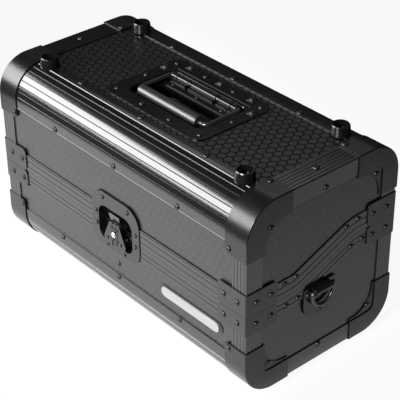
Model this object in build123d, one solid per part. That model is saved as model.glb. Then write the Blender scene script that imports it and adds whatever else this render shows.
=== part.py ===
"""Hard case for seven-inch records: hinged S-jointed lid, rounded long edges, twist latch.

Frame: X runs along the case, the front is at -Y, Z is up, the feet stand on Z = 0.
All sizes are millimetres.
"""
from math import atan2, cos, degrees, pi, radians, sin, sqrt, tan
import os

from build123d import *

os.makedirs("parts", exist_ok=True)

# Case shell
case_length = 472.0        # over the end angles, along X
case_depth = 240.0         # over the front and back extrusions, along Y
case_height = 262.0        # underside of the base shell to the top of the lid shell
base_foot_height = 10.0
panel_t = 6.5              # laminated board
skin_t = 1.5               # metal of extrusions, angles and rims
lip_t = 1.2                # inner lip of every channel that grips a panel
lip_length = 8.0
panel_fit = 0.1            # all round an end panel

# Lid joint
seam_front = round(0.4561 * case_height, 1)      # height of the joint at the front, above the shell
seam_rise = round(0.1412 * case_height, 1)       # how much higher the joint runs at the back
seam_bend_front = round(-0.172 * case_depth, 1)  # Y where the joint starts to climb
seam_bend_back = round(0.2133 * case_depth, 1)   # Y where it is level again
seam_bend_radius = 60.0
seam_gap = 0.4
rim_web = 4.5              # solid web of a rim beside the joint
lid_rim_height = 24.5
base_rim_height = 19.0
lid_rim_grooves = (7.5, 16.0)      # off the joint
base_rim_grooves = (7.5, 14.5)
tongue_width = 2.6
tongue_height = 2.2
tongue_side_play = 0.5
tongue_end_play = 0.6

# Long rounded edge extrusions
edge_radius = 44.0
edge_flange_side = 10.0    # flat flange on the front and back faces, past the rounding
edge_flange_flat = 6.0     # flat flange on the top and the underside
groove_width = 1.3         # drawn V grooves of every extrusion, half as deep as wide
edge_groove_pitch = 7.7    # along the arc
edge_groove_count = 8

# End angles and corner angles
end_angle_face = 24.0      # leg on the end face
end_angle_flat = 33.0      # leg on the top or the underside
post_leg = 24.0
angle_corner_radius = 1.2
angle_groove_pitch = 5.5

# Corner caps
cap_t = 1.5
cap_length = 36.0          # along X, from the cap's end face
cap_arm = round(0.2576 * case_height, 1)         # reach of each arm from the case's edge
cap_border = 26.0          # raised border on the end face
cap_border_radius = 10.0
cap_web = 29.5             # lower web behind the border
cap_web_radius = 32.0
cap_edge_radius = 1.4
cap_arm_radius = 4.0

# Corner brackets at the joint
bracket_t = 1.5
bracket_leg = round(0.196 * case_depth, 1)
lid_bracket_height = 31.0
base_bracket_height = 26.0
bracket_corner_radius = 5.0
bracket_joint_radius = 6.5 # rounded bite beside the joint

# Rivets: head sizes, and places off the nearest edge or off the joint
rivet_radius = 4.2
rivet_crown = 2.6
rivet_height = 2.0
small_rivet = 3.2
strip_rivet = 2.6
foot_rivet = 2.2           # along the latch plate's foot
rivet_span = 0.25 * case_length        # along the extrusions, from the middle
rivet_side = 49.8          # up the front and back
rivet_flat = 45.5          # in from the front and back, on the top and the underside
angle_rivet_face = 19.0
angle_rivet_flat = 16.5
cap_rivet_side = 61.0
cap_rivet_inset = 29.0     # in from the end
cap_rivet_web = 36.0
bracket_rivets = (14.5, 37.5)      # in from the corner
bracket_rivet_lid = 15.5
bracket_rivet_base = 14.0
lid_climb_rivets = (-0.25, -0.175, 0.1625, 0.2417)     # shares of the depth
base_climb_rivets = (-0.2375, -0.1583, 0.2, 0.2792)
lid_climb_offset = 18.5
base_climb_offset = -14.0

# Feet on the base and stacking cups on the lid
foot_inset = 52.0          # in from the end
foot_y = 75.5
foot_radius = 12.5
foot_tip_radius = 8.8
foot_bore_radius = 4.5
foot_bore_depth = 5.0
cup_height = 12.5
cup_rim_radius = 11.3
cup_bore_radius = 9.5
cup_bore_depth = 9.5
screw_radius = 4.2
screw_height = 1.8
screw_recess_play = 0.3

# Foam lining
foam_t = 5.0
foam_gap = 0.3

# Twist latch
latch_half_width = 46.5
latch_plate_t = 1.2
latch_top = 46.5           # above the joint
latch_bottom = 31.5        # below the joint
latch_top_radius = 24.0
latch_bottom_radius = 18.0
dish_half_width = 33.0
dish_top = 27.5
dish_bottom = 21.5
dish_top_radius = 15.0
dish_bottom_radius = 12.0
dish_wall = 1.2
dish_fit = 0.3             # round the dish, in panels and rims
base_dish_depth = 11.3     # plate's face to the dish's floor
lid_dish_depth = 13.8
spindle_drop = 4.5         # spindle axis below the joint
spindle_radius = 2.5
bush_radius = 5.0
bush_length = 2.0
collar_radius = 4.5
collar_t = 1.0
running_fit = 0.05
layer_gap = 0.3            # between stacked moving plates
carriage_t = 1.8
carriage_half_width = 10.0
carriage_tail = 10.0
rail_t = 1.5
hook_travel = 4.0
latch_turn = 180.0         # degrees
cam_t = 2.0
cam_margin = 1.0
cam_pin_radius = 1.4
cam_pin_low = 4.6          # pin from the spindle axis when drawn down
cam_slot_play = 0.25
hub_neck_radius = 3.2
hub_cap_radius = 4.1
hub_cap_t = 1.5
wing_t = 1.5
wing_rod_radius = 1.0
wing_knuckle_radius = 1.7
wing_knuckle_half = 6.8
wing_inner = 4.0           # straight inner edge of a wing, off the spindle axis
wing_top = (9.0, 16.2)     # corners of the right wing, off the spindle axis
wing_side = (22.0, -12.0)
wing_foot = (15.0, -19.0)
wing_corner_radius = 4.5
wing_slot = (13.0, -10.0)
wing_slot_length = 5.5
wing_slot_width = 2.8
ear_t = 1.8
ear_gap = 0.3
hook_pin_radius = 1.3
hook_knuckle_radius = 2.2
hook_half_width = 10.0
hook_arm_width = 3.0
hook_t = 2.0
hook_nose_t = 2.5
hook_overlap = 1.4         # nose over the keeper
hook_tilt = 15.0           # degrees that the released hook stands out
keeper_t = 2.4
keeper_top = 18.3          # above the joint
keeper_gap = 0.3           # nose above the keeper when drawn down
keeper_setback = 3.5       # keeper's front edge behind the plate's face
keeper_front_gap = 0.5
keeper_half_width = 11.0

# Badge on the base front
badge_inset = 97.5         # centre, in from the right end
badge_drop = 41.5          # centre below the joint
badge_length = 104.0
badge_height = 13.5
badge_t = 1.4
holder_end = 5.0
holder_side = 1.7
holder_t = 1.0

# Ring lugs and D-rings on the ends
lug_y = -3.0
lug_bar_drop = 11.5        # ring bar below the joint's front height
lug_plate_width = 54.0
lug_plate_height = 46.0
lug_plate_t = 1.5
saddle_width = 28.0
saddle_wall = 1.8
ring_wire_radius = 2.5
ring_radius = 17.5         # of the wire's centre line
ring_arm = 5.0
ring_corner_radius = 4.0

# Hinges on the back
hinge_x = round(0.2754 * case_length, 1)
hinge_width = 60.0
hinge_leaf_height = 34.0
hinge_leaf_t = 1.5
hinge_barrel_radius = 3.5
hinge_pin_radius = 2.0
hinge_back_clearance = 0.3
hinge_knuckle_gap = 0.3
hinge_knuckle_count = 5
hinge_corner_radius = 6.0

# Carrying handle
handle_length = 178.0
handle_width = case_depth - 117.0      # keeps clear of both long extrusions
handle_y = -1.0
handle_plate_radius = 16.0
handle_plate_t = 1.5
tray_inset = 20.0          # shallow tray for the bail, in from the plate's ends
tray_front_inset = 21.5
tray_back_inset = 27.5
tray_depth = 6.5
tray_radius = 9.0
tray_edge_radius = 1.2
well_inset = 11.0          # deep well under the fingers, in from the tray's ends
well_front_inset = 2.0
well_back_inset = 28.0
well_depth = 17.0
well_radius = 8.0
well_taper = 6.0
dish_sheet = 1.2
bail_inset = 5.0           # wire's centre line, in from the tray's ends
bail_wire_radius = 3.0
bail_front_radius = 7.0
bail_rear_radius = 5.0
bail_pivot_inset = 6.0     # in from the tray's back
grip_front_gap = 5.0       # tray's front edge to the grip
bail_stub_end = 20.0
grip_radius = 8.0
grip_half_length = 54.0
grip_slide = -2.5          # the sleeve is loose on the bail
strip_wall = 1.45
strip_width = 19.0
strip_step = 3.6           # raised step in front of the barrel
strip_slit = 49.0          # narrow slits through the barrel, off the middle
strip_slit_width = 1.6
strip_spring_start = 22.5
strip_spring_end = 29.0
spring_wire_radius = 0.5
spring_gap = 0.25
spring_turns = 3
spring_pitch = 1.6
bead_inset = 19.5          # in from the plate's back
bead_length = 136.0
bead_width = 2.6
bead_height = 1.0
washer = 11.0              # square washers under the larger heads
washer_t = 0.8

# Places worked out from the sizes above
half_l = case_length / 2
half_d = case_depth / 2
base_z = base_foot_height
top_z = base_z + case_height
mid_z = base_z + case_height / 2
seam_z = base_z + seam_front
seam_back_z = seam_z + seam_rise
half_gap = seam_gap / 2
channel = skin_t + panel_t + lip_t
panel_x = half_l - skin_t - panel_t      # inner face of an end panel
seam_angle = atan2(seam_rise, seam_bend_back - seam_bend_front)
seam_shift = tan(seam_angle / 2)
web_edge = half_gap + rim_web            # where a panel's edge stands, off the joint

foot_x = half_l - foot_inset
cap_rivet_x = half_l - cap_rivet_inset
badge_x = half_l - badge_inset
handle_front = handle_y - handle_width / 2
handle_back = handle_y + handle_width / 2
tray_half = handle_length / 2 - tray_inset
tray_front = handle_front + tray_front_inset
tray_back = handle_back - tray_back_inset
well_half = tray_half - well_inset
well_front = tray_front + well_front_inset
well_back = tray_back - well_back_inset
bail_half_width = tray_half - bail_inset
bail_pivot_y = tray_back - bail_pivot_inset
bail_grip_y = tray_front + grip_front_gap + grip_radius
strip_end = bail_half_width - bail_rear_radius - layer_gap
strip_front = bail_pivot_y - strip_width

parts = {}


def block(x0, x1, y0, y1, z0, z1):
    """Box between two corners."""
    return Pos((x0 + x1) / 2, (y0 + y1) / 2, (z0 + z1) / 2) * Box(x1 - x0, y1 - y0, z1 - z0)


def along_x(face, x0, x1):
    """Solid of a Y-Z outline between two X planes."""
    return extrude(Plane.YZ.offset(x0) * face, amount=x1 - x0, dir=(1, 0, 0))


def along_y(face, y0, y1):
    """Solid of an X-Z outline between two Y planes."""
    return extrude(Plane.XZ.offset(-y0) * face, amount=y1 - y0, dir=(0, 1, 0))


def along_z(face, z0, z1):
    """Solid of an X-Y outline between two Z planes."""
    return extrude(Plane.XY.offset(z0) * face, amount=z1 - z0, dir=(0, 0, 1))


def flip_x(shape):
    return mirror(shape, about=Plane.YZ)


def flip_y(shape):
    return mirror(shape, about=Plane.XZ)


def flip_z(shape):
    """Mirror between the base and the lid, at half the shell's height."""
    return mirror(shape, about=Plane.XY.offset(mid_z))


def turn_about_x(shape):
    """Half turn between the base's front edge and the lid's back edge."""
    return Pos(0, 0, mid_z) * Rot(180, 0, 0) * Pos(0, 0, -mid_z) * shape


def turn_about_y(shape):
    """Half turn between the base's right side and the lid's left side."""
    return Pos(0, 0, mid_z) * Rot(0, 180, 0) * Pos(0, 0, -mid_z) * shape


def rod(start, end, radius):
    """Round bar between two points."""
    start = Vector(*start)
    end = Vector(*end)
    plane = Plane(origin=start, z_dir=end - start)
    return extrude(plane * Circle(radius), amount=(end - start).length)


def group(shapes):
    """Loose copies of one piece as a single node."""
    solids = []
    for shape in shapes:
        solids += list(shape.solids())
    return Compound(children=solids)


def groove(angle=0):
    """Outline of a V groove, to be cut where an outline's edge passes through its middle."""
    side = groove_width / sqrt(2)
    return Rot(0, 0, angle + 45) * Rectangle(side, side)


def polygon(points):
    return make_face(Polyline(*points, close=True))


def seam_curve(offset):
    """The joint on an end face, moved up by an offset square to itself."""
    front = (-half_d - 1, seam_z + offset)
    low = (seam_bend_front - offset * seam_shift, seam_z + offset)
    high = (seam_bend_back - offset * seam_shift, seam_back_z + offset)
    back = (half_d + 1, seam_back_z + offset)
    radii = [seam_bend_radius - offset, seam_bend_radius + offset]
    return FilletPolyline(front, low, high, back, radius=radii)


def seam_band(low, high, y_limit):
    """Strip of an end face between two offsets of the joint."""
    under = seam_curve(low)
    over = seam_curve(high)
    band = make_face([under, Line(under @ 1, over @ 1), over, Line(over @ 0, under @ 0)])
    height = seam_rise + 4 * lid_rim_height
    window = Pos(0, (seam_z + seam_back_z) / 2) * Rectangle(2 * y_limit, height)
    return band & window


def edge_face():
    """Section of a long edge extrusion: distance in from the front, height above the underside."""
    r = edge_radius
    inner = r - skin_t
    tip = r - sqrt(inner**2 - skin_t**2)
    mid_out = r - r * sqrt(0.5)
    mid_in = r - inner * sqrt(0.5)
    slot = skin_t + panel_t
    flat_side = [(r, 0), (r + edge_flange_flat, 0), (r + edge_flange_flat, skin_t), (r, skin_t), (r, slot),
                 (r + lip_length, slot), (r + lip_length, channel), (r - skin_t, channel), (r - skin_t, tip)]
    face_side = [(tip, r - skin_t), (channel, r - skin_t), (channel, r + lip_length), (slot, r + lip_length),
                 (slot, r), (skin_t, r), (skin_t, r + edge_flange_side), (0, r + edge_flange_side), (0, r)]
    section = make_face([
        ThreePointArc((0, r), (mid_out, mid_out), (r, 0)),
        Polyline(*flat_side),
        ThreePointArc((r - skin_t, tip), (mid_in, mid_in), (tip, r - skin_t)),
        Polyline(*face_side),
    ])
    pitch = degrees(edge_groove_pitch / r)
    for index in range(edge_groove_count):
        angle = 45 + (index - (edge_groove_count - 1) / 2) * pitch
        place = Pos(r - r * cos(radians(angle)), r - r * sin(radians(angle)))
        section -= place * groove(angle)
    return Pos(-half_d, base_z) * section


def envelope(inset, radius):
    """Rounded outline of the whole case in Y-Z, moved in by an inset."""
    return Pos(0, mid_z) * RectangleRounded(case_depth - 2 * inset, case_height - 2 * inset, radius)


def long_edge():
    """Front lower extrusion, notched at both ends for the end panels."""
    bar = along_x(edge_face(), -half_l + skin_t, half_l - skin_t)
    inset = skin_t + panel_fit / 2
    notch = along_x(envelope(inset, edge_radius - inset), panel_x, half_l)
    return bar - notch - flip_x(notch)


def end_angle():
    """Right lower end angle, grooved along its flat leg."""
    reach = half_d - edge_radius - edge_flange_flat
    outline = polygon([(half_l - end_angle_flat, base_z), (half_l, base_z), (half_l, base_z + end_angle_face),
                       (half_l - skin_t, base_z + end_angle_face), (half_l - skin_t, base_z + skin_t),
                       (half_l - end_angle_flat, base_z + skin_t)])
    corner = outline.vertices().sort_by_distance((half_l, base_z))[0]
    outline = fillet(corner, angle_corner_radius)
    count = int(end_angle_flat / angle_groove_pitch) - 1
    for index in range(count):
        x = half_l - (index + 1) * angle_groove_pitch
        outline -= Pos(x, base_z) * groove()
    return along_y(outline, -reach, reach)


def corner_post(z0, z1):
    """Front right corner angle between two heights, grooved along both legs."""
    outline = polygon([(half_l - post_leg, -half_d), (half_l, -half_d), (half_l, -half_d + post_leg),
                       (half_l - skin_t, -half_d + post_leg), (half_l - skin_t, -half_d + skin_t),
                       (half_l - post_leg, -half_d + skin_t)])
    corner = outline.vertices().sort_by_distance((half_l, -half_d))[0]
    outline = fillet(corner, angle_corner_radius)
    count = int(post_leg / angle_groove_pitch)
    for index in range(count):
        step = (index + 0.75) * angle_groove_pitch
        outline -= Pos(half_l - step, -half_d) * groove()
        outline -= Pos(half_l, -half_d + step) * groove()
    return along_z(outline, z0, z1)


def rim_section(base, height):
    """Straight rim of the front: wall depth across, height off the joint along, base or lid."""
    sign = -1 if base else 1
    inner = half_gap + rim_web
    points = [(0, half_gap), (channel, half_gap), (channel, inner + lip_length),
              (channel - lip_t, inner + lip_length), (channel - lip_t, inner), (skin_t, inner),
              (skin_t, half_gap + height), (0, half_gap + height)]
    section = polygon([(depth, sign * level) for depth, level in points])
    for level in base_rim_grooves if base else lid_rim_grooves:
        section -= Pos(0, sign * level) * groove()
    return section


def straight_rim(base, y_side, level):
    """Front or back rim, full length, with the lid's tongue or the base's groove."""
    height = base_rim_height if base else lid_rim_height
    section = rim_section(base, height)
    middle = channel / 2
    if base:
        depth = tongue_height + tongue_end_play
        width = tongue_width + 2 * tongue_side_play
        section -= Pos(middle, -half_gap - depth / 2) * Rectangle(width, depth)
    else:
        depth = tongue_height + 2 * half_gap
        section += Pos(middle, half_gap - depth / 2) * Rectangle(tongue_width, depth)
    rim = along_x(Pos(-half_d, level) * section, -half_l, half_l)
    clear = half_l - channel + lip_t
    sign = -1 if base else 1
    low, high = sorted([level + sign * web_edge, level + sign * (web_edge + lip_length + 1)])
    for x0, x1 in ((clear - lip_t, half_l + 1), (-half_l - 1, lip_t - clear)):
        rim -= block(x0, x1, -half_d + skin_t, -half_d + channel + 1, low, high)
    return rim if y_side < 0 else flip_y(rim)


def end_rim(base):
    """Right end rim that climbs in an S from the front height to the back height."""
    sign = -1 if base else 1
    height = base_rim_height if base else lid_rim_height
    limit = half_d - channel

    def band(low, high, x0, x1):
        low, high = sorted([sign * low, sign * high])
        return along_x(seam_band(low, high, limit), x0, x1)

    rim = band(half_gap, half_gap + height, half_l - skin_t, half_l)
    rim += band(half_gap, web_edge, half_l - channel, half_l - skin_t)
    rim += band(web_edge, web_edge + lip_length, half_l - channel, half_l - channel + lip_t)
    for level in base_rim_grooves if base else lid_rim_grooves:
        path = Plane.YZ.offset(half_l) * seam_curve(sign * level)
        rim -= sweep(Plane(origin=path @ 0, z_dir=path % 0) * groove(), path=path)
    middle = half_l - channel / 2
    if base:
        half_w = tongue_width / 2 + tongue_side_play
        rim -= band(half_gap, half_gap + tongue_height + tongue_end_play, middle - half_w, middle + half_w)
    else:
        half_w = tongue_width / 2
        rim += band(-half_gap - tongue_height, half_gap + 0.1, middle - half_w, middle + half_w)
    return rim


def end_panel(base):
    """Right end panel, rounded with the case and cut along the joint."""
    outline = envelope(skin_t + panel_fit, edge_radius - skin_t - panel_fit)
    if base:
        edge = seam_curve(-web_edge)
        floor_z = base_z - 10
    else:
        edge = seam_curve(web_edge)
        floor_z = top_z + 10
    corner_a = Vector((edge @ 1).X, floor_z)
    corner_b = Vector((edge @ 0).X, floor_z)
    half = make_face([edge, Line(edge @ 1, corner_a), Line(corner_a, corner_b), Line(corner_b, edge @ 0)])
    return along_x(outline & half, panel_x, half_l - skin_t)


def corner_cap():
    """Front lower right pressed cap: three sides, raised border and a hollow-edged web on the end."""
    face_x = half_l + cap_t
    window = block(half_l - cap_length + cap_t, face_x, -half_d - cap_t, -half_d + cap_arm,
                   base_z - cap_t, base_z + cap_arm)
    shell = along_x(envelope(-cap_t, edge_radius + cap_t), half_l - cap_length, face_x)
    rim_edges = shell.faces().sort_by(Axis.X)[-1].edges()
    shell = fillet(rim_edges, cap_edge_radius) & window
    shell -= along_x(envelope(0, edge_radius), 0, half_l - skin_t)
    near = Pos(-half_d, base_z)

    def hollow(width, radius, x0, x1):
        side = 2 * cap_arm
        outline = Pos(width + side / 2, width + side / 2) * RectangleRounded(side, side, radius)
        return along_x(near * outline, x0, x1)

    shell -= hollow(cap_border, cap_border_radius, half_l, face_x + 1)
    shell -= hollow(cap_web, cap_web_radius, half_l - skin_t - 1, half_l)
    reach = half_d - edge_radius - edge_flange_flat
    shell -= block(half_l - 2 * skin_t, half_l, -reach, 0, base_z - 0.01, base_z + end_angle_face)
    post_z = base_z + edge_radius + edge_flange_side
    shell -= block(half_l - 2 * skin_t, half_l, -half_d - 0.01, -half_d + post_leg, post_z, top_z)
    x_end = half_l - cap_length + cap_t
    tips = [edge for edge in shell.edges()
            if abs(edge.center().X - x_end) < 0.01 and abs(edge.length - cap_t) < 0.01]
    return fillet(tips, cap_arm_radius)


def bracket(base):
    """Front right corner bracket half beside the joint."""
    height = base_bracket_height if base else lid_bracket_height
    leg = bracket_leg
    outer = polygon([(half_l - leg, -half_d - bracket_t), (half_l + bracket_t, -half_d - bracket_t),
                     (half_l + bracket_t, -half_d + leg), (half_l, -half_d + leg), (half_l, -half_d),
                     (half_l - leg, -half_d)])
    corner_out = outer.vertices().sort_by_distance((half_l + bracket_t, -half_d - bracket_t))[0]
    outer = fillet(corner_out, angle_corner_radius + bracket_t)
    if base:
        plate = along_z(outer, seam_z - half_gap - height, seam_z - half_gap)
        far_z = seam_z - half_gap - height
    else:
        plate = along_z(outer, seam_z + half_gap, seam_z + half_gap + height)
        far_z = seam_z + half_gap + height
    near_z = seam_z - half_gap if base else seam_z + half_gap
    for level, radius in ((far_z, bracket_corner_radius), (near_z, bracket_joint_radius)):
        tips = [edge for edge in plate.edges()
                if abs(edge.center().Z - level) < 0.01 and abs(edge.length - bracket_t) < 0.01]
        plate = fillet(tips, radius)
    return plate


def rivet(point, direction, radius=rivet_radius, height=rivet_height):
    """Low head sitting on a face."""
    crown = radius * rivet_crown / rivet_radius
    plane = Plane(origin=point, z_dir=direction)
    return plane * Pos(0, 0, height / 2) * Cone(radius, crown, height)


# Panels
board_low = base_z + skin_t
board_high = board_low + panel_t
inside_y = half_d - edge_radius
parts["floor_panel"] = block(-panel_x, panel_x, -inside_y, inside_y, board_low, board_high)
parts["top_panel"] = flip_z(parts["floor_panel"])
face_y = half_d - skin_t
parts["base_front_panel"] = block(-panel_x, panel_x, -face_y, -face_y + panel_t,
                                  base_z + edge_radius, seam_z - web_edge)
parts["base_back_panel"] = block(-panel_x, panel_x, face_y - panel_t, face_y,
                                 base_z + edge_radius, seam_back_z - web_edge)
parts["lid_front_panel"] = block(-panel_x, panel_x, -face_y, -face_y + panel_t,
                                 seam_z + web_edge, top_z - edge_radius)
parts["lid_back_panel"] = block(-panel_x, panel_x, face_y - panel_t, face_y,
                                seam_back_z + web_edge, top_z - edge_radius)
parts["base_right_panel"] = end_panel(True)
parts["base_left_panel"] = flip_x(parts["base_right_panel"])
parts["lid_right_panel"] = end_panel(False)
parts["lid_left_panel"] = flip_x(parts["lid_right_panel"])

# Extrusions, angles and rims
parts["base_front_edge"] = long_edge()
parts["base_back_edge"] = flip_y(parts["base_front_edge"])
parts["lid_front_edge"] = flip_z(parts["base_front_edge"])
parts["lid_back_edge"] = turn_about_x(parts["base_front_edge"])
angle = end_angle()
parts["base_end_angles"] = group([angle, flip_x(angle)])
parts["lid_end_angles"] = flip_z(parts["base_end_angles"])
edge_z = edge_radius + edge_flange_side
base_front_post = corner_post(base_z + edge_z, seam_z - half_gap - base_rim_height)
base_back_post = flip_y(corner_post(base_z + edge_z, seam_back_z - half_gap - base_rim_height))
lid_front_post = corner_post(seam_z + half_gap + lid_rim_height, top_z - edge_z)
lid_back_post = flip_y(corner_post(seam_back_z + half_gap + lid_rim_height, top_z - edge_z))
base_posts = [base_front_post, base_back_post]
lid_posts = [lid_front_post, lid_back_post]
parts["base_corner_posts"] = group(base_posts + [flip_x(post) for post in base_posts])
parts["lid_corner_posts"] = group(lid_posts + [flip_x(post) for post in lid_posts])
parts["base_front_rim"] = straight_rim(True, -1, seam_z)
parts["base_back_rim"] = straight_rim(True, 1, seam_back_z)
parts["lid_front_rim"] = straight_rim(False, -1, seam_z)
parts["lid_back_rim"] = straight_rim(False, 1, seam_back_z)
parts["base_right_rim"] = end_rim(True)
parts["base_left_rim"] = flip_x(parts["base_right_rim"])
parts["lid_right_rim"] = end_rim(False)
parts["lid_left_rim"] = flip_x(parts["lid_right_rim"])

# Corner caps and brackets
cap = corner_cap()
parts["base_right_caps"] = group([cap, flip_y(cap)])
parts["base_left_caps"] = flip_x(parts["base_right_caps"])
parts["lid_right_caps"] = flip_z(parts["base_right_caps"])
parts["lid_left_caps"] = turn_about_y(parts["base_right_caps"])
rise = Pos(0, 0, seam_rise)
base_bracket = bracket(True)
lid_bracket = bracket(False)
base_pair = [base_bracket, rise * flip_y(base_bracket)]
lid_pair = [lid_bracket, rise * flip_y(lid_bracket)]
parts["base_brackets"] = group(base_pair + [flip_x(item) for item in base_pair])
parts["lid_brackets"] = group(lid_pair + [flip_x(item) for item in lid_pair])

# Twist latch: dishes, each cut into its own shell's board and rims
plate_y = -half_d - latch_plate_t        # latch plate's outer face
base_floor_y = plate_y + base_dish_depth
lid_floor_y = plate_y + lid_dish_depth
spindle_z = seam_z - spindle_drop


def latch_outline(half, top, bottom, top_radius, bottom_radius):
    """Rounded outline round the latch: half width, heights above and below the joint."""
    outline = Pos(0, seam_z + (top - bottom) / 2) * Rectangle(2 * half, top + bottom)
    for x in (-half, half):
        for level, radius in ((seam_z + top, top_radius), (seam_z - bottom, bottom_radius)):
            corner = outline.vertices().sort_by_distance((x, level))[0]
            outline = fillet(corner, radius)
    return outline


def dish_outline(grow):
    """Outline of the whole recess, larger by a margin."""
    return latch_outline(dish_half_width + grow, dish_top + grow, dish_bottom + grow,
                         dish_top_radius + grow, dish_bottom_radius + grow)


def half_window(base):
    """All of the latch that belongs to one shell, to its own side of the joint."""
    size = 4 * latch_half_width
    sign = -1 if base else 1
    return Pos(0, seam_z + sign * (half_gap + size / 2)) * Rectangle(size, size)


def dish(base):
    """Pressed latch plate with its half of the recess."""
    floor_y = base_floor_y if base else lid_floor_y
    window = half_window(base)
    plate = latch_outline(latch_half_width, latch_top, latch_bottom, latch_top_radius, latch_bottom_radius)
    tub = along_y(dish_outline(dish_wall) & window, plate_y, floor_y + dish_wall)
    tub += along_y(plate & window, plate_y, -half_d)
    return tub - along_y(dish_outline(0) & window, plate_y - 1, floor_y)


dish_cut = along_y(dish_outline(dish_wall + dish_fit), plate_y - 5, -half_d + channel + 5)
parts["base_front_panel"] -= dish_cut
parts["lid_front_panel"] -= dish_cut
parts["base_front_rim"] -= dish_cut
parts["lid_front_rim"] -= dish_cut
latch_dish = dish(True)
keeper_dish = dish(False)
behind = base_floor_y + dish_wall
bush_end = behind + bush_length
latch_dish += rod((0, behind, spindle_z), (0, bush_end, spindle_z), bush_radius)
latch_dish &= along_y(half_window(True), plate_y - 1, bush_end + 1)
bush_bore = spindle_radius + running_fit
latch_dish -= rod((0, base_floor_y - 1, spindle_z), (0, bush_end + 1, spindle_z), bush_bore)
carriage_back = base_floor_y - layer_gap
carriage_front = carriage_back - carriage_t
rail_x = carriage_half_width + layer_gap
rail_top = seam_z - half_gap - layer_gap
rail_low = spindle_z - carriage_tail
for x0 in (rail_x, -rail_x - rail_t):
    latch_dish += block(x0, x0 + rail_t, carriage_front + 0.1, base_floor_y, rail_low, rail_top)
parts["latch_dish"] = latch_dish

# Spindle with its spiral slot: the slot draws the carriage in by even steps over half a turn
cam_back = carriage_front - layer_gap
cam_front = cam_back - cam_t
cam_pin_high = cam_pin_low + hook_travel
slot_half = cam_pin_radius + cam_slot_play
cam_radius = cam_pin_high + slot_half + cam_margin
wing_back = plate_y - layer_gap
rod_y = wing_back - wing_t / 2
wing_rod_x = hub_neck_radius + layer_gap + wing_knuckle_radius


def spiral_point(turn, offset):
    """Point of the slot's side: turn in degrees from released, offset square to the slot's middle."""
    rate = -hook_travel / radians(latch_turn)
    radius = cam_pin_high + rate * radians(turn)
    angle = radians(90 - turn)
    along = (rate * cos(angle) + radius * sin(angle), rate * sin(angle) - radius * cos(angle))
    size = sqrt(along[0] ** 2 + along[1] ** 2)
    x = radius * cos(angle) - offset * along[1] / size
    z = radius * sin(angle) + offset * along[0] / size
    return (x, z)


def spiral_slot():
    """Outline of the curved slot, with round ends, in the spindle's own X-Z plane."""
    steps = [latch_turn * index / 24 for index in range(25)]
    outer = [spiral_point(turn, slot_half) for turn in steps]
    inner = [spiral_point(turn, -slot_half) for turn in reversed(steps)]
    slot = make_face([Spline(*outer), Line(outer[-1], inner[0]), Spline(*inner), Line(inner[-1], outer[0])])
    for turn in (0, latch_turn):
        slot += Pos(*spiral_point(turn, 0)) * Circle(slot_half)
    return slot


def at_spindle(outline):
    return Pos(0, spindle_z) * outline


cam = along_y(at_spindle(Circle(cam_radius) - spiral_slot()), cam_front, cam_back)
shaft_end = bush_end + layer_gap
collar_end = shaft_end + collar_t
cap_back = rod_y - wing_knuckle_radius - layer_gap / 2
spindle = cam + rod((0, cam_back - 0.5, spindle_z), (0, collar_end, spindle_z), spindle_radius)
spindle += rod((0, shaft_end, spindle_z), (0, collar_end, spindle_z), collar_radius)
spindle += rod((0, cam_front + 0.01, spindle_z), (0, cap_back - 0.2, spindle_z), hub_neck_radius)
hub_cap = rod((0, cap_back, spindle_z), (0, cap_back - hub_cap_t, spindle_z), hub_cap_radius)
hub_rim = hub_cap.edges().sort_by(Axis.Y)[0]
spindle += fillet(hub_rim, hub_cap_t * 0.8)
ear_low = wing_knuckle_half + ear_gap
ear_half = wing_rod_x + wing_knuckle_radius
for z0 in (ear_low, -ear_low - ear_t):
    spindle += block(-ear_half, ear_half, rod_y - wing_knuckle_radius, cam_front + 0.01,
                     spindle_z + z0, spindle_z + z0 + ear_t)
for x in (wing_rod_x, -wing_rod_x):
    low = (x, rod_y, spindle_z - ear_low - 0.5)
    high = (x, rod_y, spindle_z + ear_low + 0.5)
    spindle += rod(low, high, wing_rod_radius)
parts["latch_spindle"] = spindle


def wing():
    """Right half of the butterfly handle, flat over the recess, with its knuckle and finger slot."""
    corners = [(wing_inner, wing_top[1]), wing_top, wing_side, wing_foot, (wing_rod_x, wing_foot[1]),
               (wing_rod_x, 0), (wing_inner, 0)]
    outline = polygon(corners)
    for place in (wing_top, wing_side, wing_foot):
        corner = outline.vertices().sort_by_distance(place)[0]
        outline = fillet(corner, wing_corner_radius)
    window_half = wing_rod_x + sqrt(2) * wing_knuckle_radius + ear_gap
    window_low = wing_knuckle_half
    window_high = ear_low + ear_t + ear_gap
    for z0 in (window_low, -window_high):
        outline -= Pos(0, z0 + (window_high - window_low) / 2) * Rectangle(
            2 * window_half, window_high - window_low)
    outline -= Rectangle(2 * wing_rod_x, 2 * wing_knuckle_half + 0.1)
    outline -= Pos(*wing_slot) * Rot(0, 0, 90) * SlotOverall(wing_slot_length, wing_slot_width)
    plate = along_y(at_spindle(outline), rod_y - wing_t / 2, wing_back)
    low = (wing_rod_x, rod_y, spindle_z - wing_knuckle_half)
    high = (wing_rod_x, rod_y, spindle_z + wing_knuckle_half)
    return plate + rod(low, high, wing_knuckle_radius) - rod(low, high, wing_rod_radius + running_fit)


parts["wing_right"] = wing()
parts["wing_left"] = flip_x(parts["wing_right"])

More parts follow.
